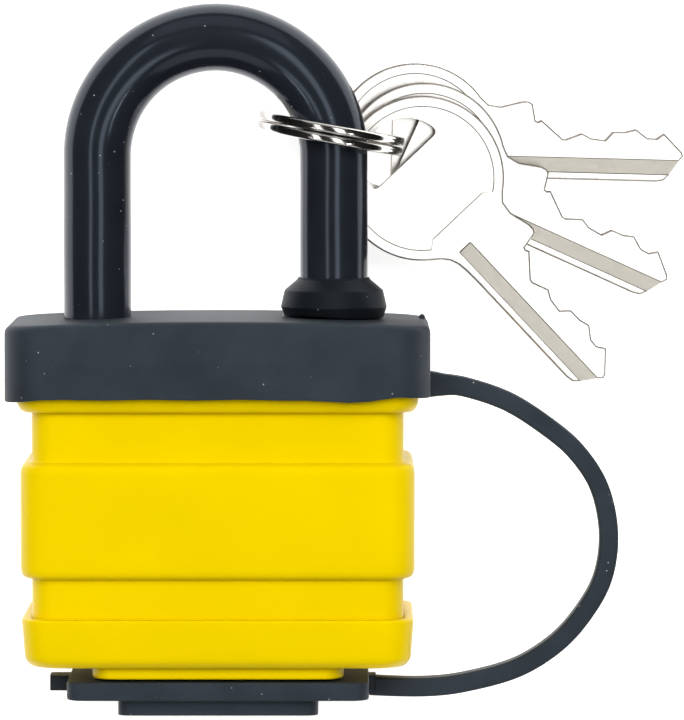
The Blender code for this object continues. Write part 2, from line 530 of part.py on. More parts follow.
cam_turns = [(k + 0.5) * math.tau / 24 for k in range(24)]
cam_outline = [(cam_reach(t) * math.cos(t), cam_reach(t) * math.sin(t)) for t in cam_turns]
cam = upright("cam", cam_outline, latch_low, latch_high, "hardened_steel", x=CORE_X,
              pivot=plug_pivot)
carve(cam, upright_cutter("tang_hole_cutter", rounded(TANG_HALF_X + 0.15, TANG_HALF_Z + 0.15, 0.3),
                          latch_low - 1, latch_high + 1))
nose_tip = TOE_X - CORE_X - ROD_RADIUS - 0.4
latch_outline = [(LATCH_BACK, -LATCH_HALF_DEPTH), (LATCH_SHOULDER, -LATCH_HALF_DEPTH),
                 (LATCH_SHOULDER, -LATCH_NOSE_HALF), (nose_tip, -LATCH_NOSE_HALF),
                 (nose_tip, LATCH_NOSE_HALF), (LATCH_SHOULDER, LATCH_NOSE_HALF),
                 (LATCH_SHOULDER, LATCH_HALF_DEPTH), (LATCH_BACK, LATCH_HALF_DEPTH)]
latch = upright("latch", latch_outline, latch_low, latch_high, "hardened_steel", x=CORE_X,
                pivot=(CORE_X, latch_low, MID_Z))
window_end = CAM_RADIUS + 0.7
window = upright_cutter("latch_window_cutter",
                        box_outline(LATCH_WINDOW_START, window_end, -LATCH_HALF_DEPTH + LATCH_RAIL,
                                    LATCH_HALF_DEPTH - LATCH_RAIL), latch_low - 1, latch_high + 1)
carve(latch, window)
latch_mid = (latch_low + latch_high) / 2
coil_spring("latch_spring", (CORE_X + LATCH_SPRING_START, latch_mid, MID_Z), (1, 0, 0),
            LATCH_BACK - 0.2 - LATCH_SPRING_START, 0.8, 0.2, 3, "spring_steel")

# --- heel: spring, its cap, and the pin that keeps the heel leg in ---
spring_low = CORE_BOTTOM + PLATE_THICKNESS + GAP
spring_cap_high = HEEL_BOTTOM - GAP
spring_cap_low = spring_cap_high - 0.5
coil_spring("heel_spring", (HEEL_X, spring_low, MID_Z), (0, 1, 0),
            spring_cap_low - GAP - spring_low, 2.4, 0.3, 3, "spring_steel")
turned("heel_spring_cap", [(2.9, spring_cap_low), (2.9, spring_cap_high)], "hardened_steel",
       x=HEEL_X, count=12)
pin_y = plate_low(pin_level) + PLATE_THICKNESS / 2
skin("heel_pin", [[(heel_pin_x + a, pin_y + b, MID_Z + end) for a, b in circle(HEEL_PIN_RADIUS, 10)]
                  for end in (-HEEL_PIN_HALF, HEEL_PIN_HALF)], "hardened_steel")

# --- split ring: two turns of flat wire with a stepped crossover, hung on the toe leg ---
ring_z = MID_Z + SLEEVE_RADIUS + RING_PLAY - (RING_RADIUS - RING_WIRE_RADIAL)
ring_centre = np.array((TOE_X - RING_SHIFT, RING_Y, ring_z))
ring_across = np.array((math.cos(RING_SLOPE), -math.sin(RING_SLOPE), 0.0))
ring_up = np.array((0.0, -math.sin(RING_LEAN), math.cos(RING_LEAN)))
ring_up -= ring_across * ring_up.dot(ring_across)
ring_up /= np.linalg.norm(ring_up)
ring_axis = np.cross(ring_up, ring_across)
wire_radius = RING_RADIUS - RING_WIRE_RADIAL / 2
wire_lift = (RING_WIRE_AXIAL + 0.12) / 2
ring_turns = np.concatenate([
    np.linspace(RING_STEP_ANGLE + 0.06, math.tau - RING_STEP_ANGLE, 22),
    np.linspace(math.tau - RING_STEP_ANGLE, math.tau + RING_STEP_ANGLE, 7)[1:-1],
    np.linspace(math.tau + RING_STEP_ANGLE, 2 * math.tau - RING_STEP_ANGLE - 0.06, 22)])
crossover = math.radians(255)            # where the wire steps over, on the side away from view
wire_centres, wire_out = [], []
for t in ring_turns:
    step = min(1.0, max(-1.0, (t - math.tau) / RING_STEP_ANGLE))
    lift = wire_lift * math.sin(step * math.pi / 2)
    out = math.cos(t + crossover) * ring_across + math.sin(t + crossover) * ring_up
    wire_centres.append(ring_centre + wire_radius * out + lift * ring_axis)
    wire_out.append(out)
tube("split_ring", wire_centres, wire_out, [ring_axis] * len(wire_out),
     RING_WIRE_RADIAL / 2 * 1.04, RING_WIRE_AXIAL / 2, "nickel_plate", sides=6,
     pivot=(TOE_X, RING_Y, MID_Z))

# --- keys: three alike, each on its own level of the ring, fanned about the wire ---
level_axis = np.array((math.sin(KEY_TILT), 0.0, math.cos(KEY_TILT)))
level_x = np.array((math.cos(KEY_TILT), 0.0, -math.sin(KEY_TILT)))
level_y = np.array((0.0, 1.0, 0.0))


def key_outline():
    """Bow arc, shoulder, cut edge with V-shaped cuts, pointed tip and straight back edge."""
    upper = math.radians(48)
    lower = math.radians(360 - 40)
    points = [(BOW_RADIUS * math.cos(t), BOW_RADIUS * math.sin(t))
              for t in np.linspace(upper, lower, 22)]
    points += [(8.6, -4.7), (10.2, -3.9), (12.0, BLADE_LOW), (KEY_TIP - 2.5, BLADE_LOW),
               (KEY_TIP, -0.5), (KEY_TIP - 0.3, 0.1),
               (KEY_TIP - 2.3, BLADE_HIGH - 0.7)]
    for k in reversed(range(CUT_COUNT)):
        middle = BLADE_START + 2.8 + k * CUT_PITCH
        floor = BLADE_HIGH - CUT_DEPTHS[k]
        points += [(middle + 1.5, BLADE_HIGH - 0.3), (middle + 0.45, floor),
                   (middle - 0.45, floor), (middle - 1.5, BLADE_HIGH - 0.3)]
    points += [(BLADE_START, BLADE_HIGH), (SHANK_START, SHOULDER_TOP), (9.6, SHOULDER_TOP)]
    return points


def key_hole():
    """Half a disc whose straight side lies square to the blade, on the blade's side."""
    return [(KEY_HOLE_RADIUS * math.cos(t) - KEY_HOLE_CHORD, KEY_HOLE_RADIUS * math.sin(t))
            for t in np.linspace(math.pi / 2, 3 * math.pi / 2, 10)]


leg_axis = np.array((TOE_X, RING_Y, MID_Z))
first_level = (leg_axis - ring_centre).dot(level_axis) - SLEEVE_RADIUS - KEY_GAP - KEY_THICKNESS / 2
rise_across, rise_up = ring_across.dot(level_axis), ring_up.dot(level_axis)
for k, heading in enumerate(KEY_DIRECTIONS):
    depth = first_level - k * (KEY_THICKNESS + KEY_GAP)
    spot = (math.asin(depth / wire_radius / math.hypot(rise_across, rise_up))
            - math.atan2(rise_across, rise_up))
    wire = ring_centre + wire_radius * (math.cos(spot) * ring_across + math.sin(spot) * ring_up)
    along = math.cos(heading) * level_x + math.sin(heading) * level_y
    aside = -math.sin(heading) * level_x + math.cos(heading) * level_y
    bow = wire + KEY_REACH[k] * along - KEY_SIDE[k] * aside

    def plane(outline, height):
        return [bow + u * along + v * aside + height * level_axis for u, v in outline]

    half = KEY_THICKNESS / 2
    key = skin(f"key_{k + 1}", [plane(key_outline(), -half), plane(key_outline(), half)],
               "nickel_plate", pivot=tuple(wire))
    hole = tool(skin(f"key_hole_cutter_{k + 1}", [plane(key_hole(), -2), plane(key_hole(), 2)],
                     "nickel_plate"))
    carve(key, hole)
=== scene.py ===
"""The looks of a weatherproof laminated padlock with a split ring and three keys.

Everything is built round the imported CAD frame, in that frame's own axes: X across the lock, Y up
along its shackle and Z from its back to its front. Sizes are in millimetres until a mesh is made.
"""

import json
import math

import bmesh
import bpy
import numpy as np
from mathutils import Matrix, Vector


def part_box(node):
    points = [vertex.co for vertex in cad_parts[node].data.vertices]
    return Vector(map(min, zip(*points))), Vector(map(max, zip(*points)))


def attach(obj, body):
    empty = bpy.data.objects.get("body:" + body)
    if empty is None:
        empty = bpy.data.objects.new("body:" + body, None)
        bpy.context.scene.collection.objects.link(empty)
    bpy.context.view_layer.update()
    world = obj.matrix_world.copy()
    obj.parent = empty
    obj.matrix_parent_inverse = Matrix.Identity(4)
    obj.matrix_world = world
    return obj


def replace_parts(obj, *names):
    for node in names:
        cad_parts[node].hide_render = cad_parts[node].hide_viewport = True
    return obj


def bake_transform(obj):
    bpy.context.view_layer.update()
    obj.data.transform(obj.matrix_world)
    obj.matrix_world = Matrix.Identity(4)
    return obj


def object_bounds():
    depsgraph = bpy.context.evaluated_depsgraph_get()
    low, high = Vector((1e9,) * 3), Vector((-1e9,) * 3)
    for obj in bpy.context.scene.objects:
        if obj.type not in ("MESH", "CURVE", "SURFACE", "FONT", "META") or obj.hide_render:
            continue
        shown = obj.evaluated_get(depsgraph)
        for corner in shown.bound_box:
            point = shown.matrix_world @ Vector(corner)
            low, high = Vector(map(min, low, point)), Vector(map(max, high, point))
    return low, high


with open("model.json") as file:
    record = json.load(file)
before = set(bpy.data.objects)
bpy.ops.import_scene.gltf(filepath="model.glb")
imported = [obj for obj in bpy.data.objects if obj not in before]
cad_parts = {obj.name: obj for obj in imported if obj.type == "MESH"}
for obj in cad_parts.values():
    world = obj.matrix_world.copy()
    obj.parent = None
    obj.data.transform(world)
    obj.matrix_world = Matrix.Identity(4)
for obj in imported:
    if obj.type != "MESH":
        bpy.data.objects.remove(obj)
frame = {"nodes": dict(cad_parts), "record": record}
cad_low, cad_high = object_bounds()

# --- Case tube -------------------------------------------------------------------------------
# One tube of yellow ABS, injection moulded, that slips over the laminated core. A raised band
# stands round its middle, a lip round its upper end, and its tail is stepped in for the base cup.
MM = 0.001
LOCK_MIDDLE = sum(corner.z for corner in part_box("case_shell")) / 2 / MM


def linear(hex_colour):
    """An sRGB hex colour as linear RGBA: ((c + 0.055) / 1.055) ^ 2.4, or c / 12.92 when dark."""
    channels = np.array([int(hex_colour[k:k + 2], 16) for k in (1, 3, 5)]) / 255
    return (*np.where(channels > 0.04045, ((channels + 0.055) / 1.055) ** 2.4, channels / 12.92), 1)


def add_node(material, kind, settings=(), **links):
    """Adds one node, sets its properties and sockets by name, and links outputs into sockets."""
    node = material.node_tree.nodes.new(kind)
    for name, value in dict(settings).items():
        if hasattr(node, name):
            setattr(node, name, value)
        else:
            node.inputs[name].default_value = value
    for name, output in links.items():
        socket = node.inputs[int(name[1:]) if name[1:].isdigit() else name.replace("_", " ")]
        material.node_tree.links.new(output, socket)
    return node


def new_material(name, settings):
    """A material with one Principled shader, its sockets set by name; returns both."""
    material = bpy.data.materials.new(name)
    material.use_nodes = True
    shader = material.node_tree.nodes["Principled BSDF"]
    for socket, value in settings.items():
        shader.inputs[socket].default_value = value
    return material, shader


def grid_faces(rows, columns, rows_meet=False):
    """Quads of a grid: point (r, c) with its neighbours (r, c+1), (r+1, c+1), (r+1, c). Columns
    always meet round the piece, and rows meet where the profile is a closed loop."""
    row, column = np.meshgrid(np.arange(rows if rows_meet else rows - 1), np.arange(columns),
                              indexing="ij")
    below, beside = (row + 1) % rows, (column + 1) % columns
    corners = [row * columns + column, row * columns + beside,
               below * columns + beside, below * columns + column]
    return np.stack(corners, axis=-1).reshape(-1, 4)


def add_piece(name, points, faces, material, sharp_angle=40):
    """Puts points in millimetres and faces into one mesh at the origin, with its faces turned
    outwards and its edges smooth up to the sharp angle in degrees."""
    mesh = bpy.data.meshes.new(name)
    mesh.from_pydata((np.reshape(points, (-1, 3)) * MM).tolist(), [], faces)
    tidy = bmesh.new()
    tidy.from_mesh(mesh)
    bmesh.ops.remove_doubles(tidy, verts=tidy.verts, dist=1e-7)
    bmesh.ops.recalc_face_normals(tidy, faces=tidy.faces)
    tidy.to_mesh(mesh)
    tidy.free()
    mesh.shade_smooth()
    mesh.set_sharp_from_angle(angle=math.radians(sharp_angle))
    mesh.materials.append(material)
    piece = bpy.data.objects.new(name, mesh)
    bpy.context.scene.collection.objects.link(piece)
    return piece


def grid_piece(name, points, material, rows_meet=False, sharp_angle=40):
    """A grid of points as a piece; a profile that isn't a loop gets a lid on each end row."""
    rows, columns = points.shape[:2]
    faces = grid_faces(rows, columns, rows_meet).tolist()
    if not rows_meet:
        faces += [list(range(columns)), list(range((rows - 1) * columns, rows * columns))]
    return add_piece(name, points, faces, material, sharp_angle)


def eased(corners, cuts, steps=4, loop=True):
    """A profile with every corner rounded: the quadratic curve (1-t)^2 A + 2t(1-t) P + t^2 B,
    where A and B lie on the two sides, a cut's length from the corner P."""
    corners = np.array(corners, dtype=float)
    cuts = np.broadcast_to(np.array(cuts, dtype=float), len(corners))
    t = np.linspace(0, 1, steps + 1)[None, :, None]
    ends = []
    for way in (1, -1):
        side = np.roll(corners, way, axis=0) - corners
        length = np.linalg.norm(side[:, [0, 1, 3]], axis=1)
        share = np.minimum(0.49, cuts / np.maximum(length, 1e-6))
        ends.append((corners + side * share[:, None])[:, None, :])
    if not loop:
        ends[0][0], ends[1][0] = corners[0], corners[0]
        ends[0][-1], ends[1][-1] = corners[-1], corners[-1]
    curve = (1 - t) ** 2 * ends[0] + 2 * t * (1 - t) * corners[:, None, :] + t ** 2 * ends[1]
    return curve.reshape(-1, corners.shape[1])


def round_the_lock(profile, arc_steps=9, side_steps=10):
    """Carries a profile round the lock: each row (half width, half depth, corner radius, height)
    becomes a loop of four corner arcs, centre + radius (cos a, sin a), and four even sides."""
    half_x, half_z, corner, height = (column[:, None] for column in np.array(profile).T)
    quarter = np.repeat(np.arange(4), arc_steps + 1)[None, :]
    angle = (quarter + np.tile(np.linspace(0, 1, arc_steps + 1), 4)[None, :]) * math.pi / 2
    inside_quarter = quarter * math.pi / 2 + 0.7        # an angle well inside each quarter
    way_x, way_z = np.sign(np.cos(inside_quarter)), np.sign(np.sin(inside_quarter))
    x = way_x * (half_x - corner) + corner * np.cos(angle)
    z = way_z * (half_z - corner) + corner * np.sin(angle)
    places = np.concatenate([np.append(q * (arc_steps + 1) + np.arange(arc_steps),
                                       q * (arc_steps + 1) + arc_steps
                                       + np.arange(side_steps) / side_steps) for q in range(4)])
    here = places.astype(int)
    after, share = (here + 1) % x.shape[1], places - here
    x = x[:, here] * (1 - share) + x[:, after] * share
    z = z[:, here] * (1 - share) + z[:, after] * share
    return np.stack([x, np.broadcast_to(height, x.shape), LOCK_MIDDLE + z], axis=-1)


# Yellow ABS, moulded in a finely eroded tool: an opaque warm yellow with a soft sheen, a faint
# orange-peel ripple about 1.2 mm wide, and a grain of 0.25 mm, drawn coarser than the real one.
yellow_abs, shader = new_material("yellow_moulded_abs", {
    "Roughness": 0.34, "IOR": 1.53, "Specular IOR Level": 0.3, "Specular Tint": linear("#ffd400")})
place = add_node(yellow_abs, "ShaderNodeTexCoord")
flow = add_node(yellow_abs, "ShaderNodeTexNoise", {"Scale": 110.0, "Detail": 3.0},
                Vector=place.outputs["Object"])
tone = add_node(yellow_abs, "ShaderNodeValToRGB", Fac=flow.outputs["Fac"])
for stop, position, colour in zip(tone.color_ramp.elements, (0.3, 0.7), ("#d8bb00", "#ddbf00")):
    stop.position, stop.color = position, linear(colour)
grain = add_node(yellow_abs, "ShaderNodeTexNoise", {"Scale": 4000.0, "Detail": 2.0},
                 Vector=place.outputs["Object"])
ripple = add_node(yellow_abs, "ShaderNodeTexNoise", {"Scale": 800.0, "Detail": 1.0},
                  Vector=place.outputs["Object"])
bump = add_node(yellow_abs, "ShaderNodeBump", {"Strength": 0.12, "Distance": 0.00006},
                Height=grain.outputs["Fac"])
bump = add_node(yellow_abs, "ShaderNodeBump", {"Strength": 0.15, "Distance": 0.00012},
                Height=ripple.outputs["Fac"], Normal=bump.outputs["Normal"])
yellow_abs.node_tree.links.new(tone.outputs["Color"], shader.inputs["Base Color"])
yellow_abs.node_tree.links.new(bump.outputs["Normal"], shader.inputs["Normal"])

NECK, BAND, LIP = (21.7, 11.5, 2.8), (23.0, 12.75, 3.2), (23.4, 12.9, 3.2)
TAIL, TAIL_TOP, BORE = (21.2, 11.0, 2.8), -12.6, (20.2, 10.0, 2.4)
case_profile = eased([
    (*TAIL, -14.95), (*TAIL, TAIL_TOP), (*NECK, TAIL_TOP), (*NECK, -6.9), (*BAND, -6.5),
    (*BAND, 6.5), (*NECK, 6.9), (*NECK, 12.7), (22.8, 12.4, 3.2, 12.7), (*LIP, 13.6),
    (*LIP, 15.9), (*NECK, 15.9), (*NECK, 19.0), (*BORE, 19.0), (*BORE, -14.95),
], [0.15, 0.1, 0.15, 0.12, 1.1, 1.1, 0.12, 0.1, 0.5, 0.6, 0.3, 0.1, 0.2, 0.2, 0.2])
case_tube = grid_piece("case_tube", round_the_lock(case_profile), yellow_abs, rows_meet=True)
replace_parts(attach(case_tube, "lock_body"), "case_shell")

# --- Base cup --------------------------------------------------------------------------------
# The lower end of the case is a shallow cup of the same yellow ABS, snapped over the tube's tail.
# A boss under it carries the keyway's opening.
CUP_RIM, CUP_LOW, CUP_UNDER = (22.9, 12.65, 3.2), (22.55, 12.3, 3.2), (21.75, 11.5, 3.0)
CUP_INSIDE, BOSS, KEYWAY = (21.76, 11.56, 2.86), (14.7, 10.5, 2.5), (8.6, 4.6, 1.5)
cup_profile = eased([
    (*CUP_INSIDE, -11.45), (*CUP_RIM, -11.45), (*CUP_LOW, -16.3), (*CUP_UNDER, -17.15),
    (*BOSS, -17.15), (*BOSS, -18.6), (*KEYWAY, -18.6), (*KEYWAY, -15.25), (*CUP_INSIDE, -15.25),
], [0.2, 0.35, 0.6, 0.5, 0.3, 0.4, 0.3, 0.2, 0.2])
base_cup = grid_piece("base_cup", round_the_lock(cup_profile), yellow_abs, rows_meet=True)
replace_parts(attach(base_cup, "lock_body"), "case_base")

# --- Top cover -------------------------------------------------------------------------------
# A cap of moulded EPDM rubber, stretched over the case's lip to keep water out. Its top is a
# little crowned, both legs of the shackle pass through it, and flash is left at its edges.


def joined(piece, cutters, operation="DIFFERENCE"):
    """Cuts closed pieces out of another, or adds them to it, keeps the result as its mesh and
    removes them."""
    for cutter in cutters:
        step = piece.modifiers.new(cutter.name, "BOOLEAN")
        step.object, step.operation, step.solver = cutter, operation, "EXACT"
        step.material_mode = "TRANSFER"
    bpy.context.view_layer.update()
    made = bpy.data.meshes.new_from_object(piece.evaluated_get(
        bpy.context.evaluated_depsgraph_get()))
    piece.modifiers.clear()
    piece.data = made
    for cutter in cutters:
        bpy.data.objects.remove(cutter)
    return piece


def turned(name, profile, centre_x, material, count=64, sharp_angle=40):
    """Turns (radius, height) pairs about an upright axis: x = centre + r cos a and
    z = middle + r sin a."""
    radius, height = (column[:, None] for column in np.array(profile, dtype=float).T)
    angle = np.arange(count)[None, :] * math.tau / count
    points = np.stack([centre_x + radius * np.cos(angle), height + 0 * angle,
                       LOCK_MIDDLE + radius * np.sin(angle)], axis=-1)
    return grid_piece(name, points, material, sharp_angle=sharp_angle)


def ball(name, centre, radii, material, count=16):
    """An ellipsoid: centre + radii (cos a sin b, cos b, sin a sin b), closed at both poles."""
    b = np.linspace(0.04, math.pi - 0.04, count)[:, None]
    a = np.arange(count)[None, :] * math.tau / count
    points = np.array(centre) + np.array(radii) * np.stack(
        [np.cos(a) * np.sin(b), np.cos(b) + 0 * a, np.sin(a) * np.sin(b)], axis=-1)
    return grid_piece(name, points, material)


def dusty_black(name, deep, pale, roughness, gloss, grain_depth):
    """A black rubber or plastic with a soft bloom 6 mm across, a fine grain, and specks of pale
    dust about 0.2 mm wide, where the nearest of many scattered points is very close."""
    material, shader = new_material(name, {"Roughness": roughness, "IOR": 1.5,
                                           "Specular IOR Level": gloss,
                                           "Specular Tint": linear("#d3e2f7")})
    place = add_node(material, "ShaderNodeTexCoord")
    bloom = add_node(material, "ShaderNodeTexNoise", {"Scale": 160.0, "Detail": 4.0},
                     Vector=place.outputs["Object"])
    tone = add_node(material, "ShaderNodeValToRGB", Fac=bloom.outputs["Fac"])
    for stop, position, colour in zip(tone.color_ramp.elements, (0.3, 0.75), (deep, pale)):
        stop.position, stop.color = position, linear(colour)
    dust = add_node(material, "ShaderNodeTexVoronoi", {"Scale": 620.0},
                    Vector=place.outputs["Object"])
    speck = add_node(material, "ShaderNodeMapRange", {"From Min": 0.025, "From Max": 0.06,
                                                      "To Min": 1.0, "To Max": 0.0},
                     Value=dust.outputs["Distance"])
    speckled = add_node(material, "ShaderNodeMix", {"data_type": "RGBA"},
                        _0=speck.outputs["Result"], _6=tone.outputs["Color"])
    speckled.inputs[7].default_value = linear("#a9adb3")
    grain = add_node(material, "ShaderNodeTexNoise", {"Scale": 2600.0, "Detail": 3.0},
                     Vector=place.outputs["Object"])
    bump = add_node(material, "ShaderNodeBump", {"Strength": 0.25, "Distance": grain_depth},
                    Height=grain.outputs["Fac"])
    bump = add_node(material, "ShaderNodeBump", {"Strength": 0.4, "Distance": 0.0001},
                    Height=speck.outputs["Result"], Normal=bump.outputs["Normal"])
    links = material.node_tree.links
    links.new(speckled.outputs[2], shader.inputs["Base Color"])
    links.new(bump.outputs["Normal"], shader.inputs["Normal"])
    return material


# EPDM rubber from a plain tool: near black with a cool cast, matt, and a little dusty.
cover_rubber = dusty_black("moulded_epdm_rubber", "#22282d", "#2c3239", 0.55, 0.3, 0.00006)

CAP_HALF_WIDTH, CAP_HALF_DEPTH, CAP_CORNER, CAP_BOTTOM, CAP_TOP = 24.8, 14.2, 4.5, 14.5, 23.4
CAP_CROWN, CAP_EDGE = 0.6, 0.9
HEEL_X, TOE_X, LEG_HOLE = -14.33, 13.53, 3.65
CAP_INSIDE, CAP_INSIDE_TOP = (23.7, 13.2, 3.2), 20.4
side_rows = eased([(*CAP_INSIDE, CAP_INSIDE_TOP), (*CAP_INSIDE, CAP_BOTTOM),
                   (CAP_HALF_WIDTH, CAP_HALF_DEPTH, CAP_CORNER, CAP_BOTTOM),
                   (CAP_HALF_WIDTH, CAP_HALF_DEPTH, CAP_CORNER, CAP_TOP - CAP_EDGE)],
                  [0.0, 0.2, 0.15, 0.0], loop=False)
edge_turn = np.radians(np.arange(15, 91, 15))
inset = CAP_EDGE * (1 - np.cos(edge_turn))
edge_rows = np.stack([CAP_HALF_WIDTH - inset, CAP_HALF_DEPTH - inset, CAP_CORNER - inset,
                      CAP_TOP - CAP_EDGE * (1 - np.sin(edge_turn))], axis=-1)
shrink = np.linspace(0.92, 0.04, 9)[:, None]
roof_rows = np.array([[CAP_HALF_WIDTH - CAP_EDGE, CAP_HALF_DEPTH - CAP_EDGE,
                       CAP_CORNER - CAP_EDGE, 0]]) * shrink + [[0, 0, 0, CAP_TOP]]
cap_grid = round_the_lock(np.concatenate([side_rows, edge_rows, roof_rows]), side_steps=16)
crown = CAP_CROWN * (cap_grid[..., 0] / CAP_HALF_WIDTH) ** 2
cap_grid[..., 1] -= np.where(cap_grid[..., 1] > CAP_TOP - CAP_EDGE - 0.1, crown, 0)
# The lower edge was trimmed by hand: a slow ripple, and swells of height h and reach w at places
# c along X, each h exp(-((x - c) / w)^2).
lower_edge = cap_grid[..., 1] < CAP_BOTTOM + 0.5
edge_wave = 0.05 * np.sin(cap_grid[..., 0] / 1.7) - 0.15
for swell, swell_place, swell_reach in ((-0.35, 15.0, 3.2), (0.3, 21.0, 2.2), (-0.35, -24.5, 3.0)):
    edge_wave += swell * np.exp(-((cap_grid[..., 0] - swell_place) / swell_reach) ** 2)
cap_grid[..., 1] += np.where(lower_edge, edge_wave, 0)
top_cap = grid_piece("top_cap", cap_grid, cover_rubber)
leg_cutters = [turned("leg_cutter", [(LEG_HOLE, 10.0), (LEG_HOLE, 30.0)], x, cover_rubber)
               for x in (HEEL_X, TOE_X)]
joined(top_cap, leg_cutters)
top_cap.data.set_sharp_from_angle(angle=math.radians(40))
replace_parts(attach(top_cap, "lock_body"), "top_cover")

FLASH_NIBS = (((24.0, 22.95, 8.0), (0.38, 0.42, 0.38)), ((22.6, 15.2, 24.7), (0.45, 0.35, 0.3)),
              ((23.9, 15.0, 22.6), (0.3, 0.4, 0.3)), ((21.9, 14.75, 25.4), (0.25, 0.22, 0.25)))
for number, (centre, radii) in enumerate(FLASH_NIBS, start=1):
    nib = ball(f"cap_flash_nib_{number}", centre, radii, cover_rubber)
    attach(nib, "lock_body")

# --- Keyway cover ----------------------------------------------------------------------------
# A rubber plug for the keyway: a spigot pressed into the boss, a slab that covers the boss, and
# a pad below it to grip. A tab stands out at each end, and the strap runs into the right one.
SPIGOT, SLAB, PAD = (8.3, 4.3, 1.3), (17.65, 11.2, 1.6), (11.7, 9.6, 1.4)
SLAB_TOP, SLAB_BOTTOM, PAD_BOTTOM, SPIGOT_TOP = -18.9, -21.0, -22.9, -15.5
cover_profile = eased([
    (*SPIGOT, SPIGOT_TOP), (*SPIGOT, SPIGOT_TOP), (*SPIGOT, SLAB_TOP), (*SLAB, SLAB_TOP),
    (*SLAB, SLAB_BOTTOM), (*PAD, SLAB_BOTTOM), (*PAD, PAD_BOTTOM), (*PAD, PAD_BOTTOM),
], [0.0, 0.3, 0.15, 0.25, 0.3, 0.2, 0.35, 0.0], loop=False)
keyway_plug = grid_piece("keyway_plug", round_the_lock(cover_profile[1:-5]), cover_rubber)
TAB_HALF_DEPTH, TAB_HALF_HEIGHT, TAB_EDGE = 1.8, 0.9, 0.3
tab_middle = (SLAB_TOP + SLAB_BOTTOM) / 2
tab_blocks = []
for name, inner, outer in (("left_tab", -16.5, -20.0), ("right_tab", 16.5, 18.5)):
    half = abs(outer - inner) / 2
    block_rows = [(half, TAB_HALF_DEPTH, TAB_EDGE, tab_middle + way * TAB_HALF_HEIGHT)
                  for way in (-1, -1, 1, 1)]
    block = round_the_lock(eased(block_rows, 0.0, loop=False), arc_steps=3, side_steps=2)
    block[..., 0] += (outer + inner) / 2
    tab_blocks.append(grid_piece(name, block, cover_rubber))
joined(keyway_plug, tab_blocks, "UNION")
keyway_plug.data.set_sharp_from_angle(angle=math.radians(40))
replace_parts(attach(keyway_plug, "cover"), "keyway_cover")

# --- Strap -----------------------------------------------------------------------------------
# The strap is moulded in one with the top cover and the keyway cover, a flat rubber band that
# keeps the cover from being lost. It bends outwards in a wide loop at the lock's right side.


def smooth_route(points, per_span):
    """A Catmull-Rom curve: between points b and c, with a before and d after, it is
    (2b + (c-a) t + (2a-5b+4c-d) t^2 + (3b-a-3c+d) t^3) / 2."""
    points = np.array(points, dtype=float)
    knots = np.concatenate([[2 * points[0] - points[1]], points, [2 * points[-1] - points[-2]]])
    a, b, c, d = (knots[k:len(knots) - 3 + k, None, :] for k in range(4))
    t = (np.arange(per_span) / per_span)[None, :, None]
    curve = (2 * b + (c - a) * t + (2 * a - 5 * b + 4 * c - d) * t ** 2
             + (3 * b - a - 3 * c + d) * t ** 3) / 2
    return np.concatenate([curve.reshape(-1, points.shape[1]), points[-1:]])


STRAP_THICKNESS, STRAP_DEPTH, STRAP_EDGE = 2.25, 3.2, 0.4
ROOT_FLARE, FLARE_REACH = 0.8, 2.2          # the strap is thicker where it leaves the cap
strap_line = smooth_route([
    (24.3, 15.35), (26.0, 15.3), (29.0, 15.0), (34.0, 13.3), (38.6, 10.4), (42.2, 7.3), (44.9, 3.1),
    (46.0, -2.2), (45.4, -7.3), (43.3, -11.4), (40.0, -15.2), (35.3, -18.2), (29.4, -19.9),
    (24.6, -20.5), (18.6, -20.4), (17.2, -20.1)], 8)
heading = np.gradient(strap_line, axis=0)
heading /= np.linalg.norm(heading, axis=1)[:, None]
from_root = np.concatenate([[0], np.cumsum(np.linalg.norm(np.diff(strap_line, axis=0), axis=1))])
thickness = STRAP_THICKNESS + ROOT_FLARE * np.exp(-((from_root / FLARE_REACH) ** 2))
section = round_the_lock([(0.5, STRAP_DEPTH / 2, STRAP_EDGE, 0)], arc_steps=4, side_steps=3)[0]
across, deep = section[:, 0], section[:, 2] - LOCK_MIDDLE
across = np.sign(across) * (np.abs(across) + (thickness[:, None] - 1) / 2)
strap_grid = np.stack([strap_line[:, :1] + heading[:, 1:] * across,
                       strap_line[:, 1:] - heading[:, :1] * across,
                       np.broadcast_to(LOCK_MIDDLE + deep, across.shape)], axis=-1)
strap_band = grid_piece("strap_band", strap_grid, cover_rubber)
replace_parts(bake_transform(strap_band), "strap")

# --- Shackle sleeve --------------------------------------------------------------------------
# The steel shackle is sheathed in a tube of black PVC, pushed on and bent with it, so that it
# can't scratch what it locks to. Its walls swell and thin by a few hundredths of a millimetre.
LEG_GAP_HALF, CORE_X, BEND_Y = 13.93, -0.4, 42.3
SLEEVE_RADIUS, SLEEVE_WALL, SLEEVE_LOW, SLEEVE_TOE_END = 3.985, 0.48, 23.15, 27.7
leg_steps, bend_steps, sleeve_sides = 24, 72, 64
bend = np.linspace(math.pi, 0, bend_steps)
rise = np.linspace(SLEEVE_LOW, BEND_Y, leg_steps)[:-1]
fall = np.linspace(BEND_Y, SLEEVE_TOE_END, leg_steps)[1:]
shackle_x = np.concatenate([0 * rise + HEEL_X, CORE_X + LEG_GAP_HALF * np.cos(bend),
                            0 * fall + TOE_X])
shackle_y = np.concatenate([rise, BEND_Y + LEG_GAP_HALF * np.sin(bend), fall])
outward = np.concatenate([0 * rise + math.pi, bend, 0 * fall])


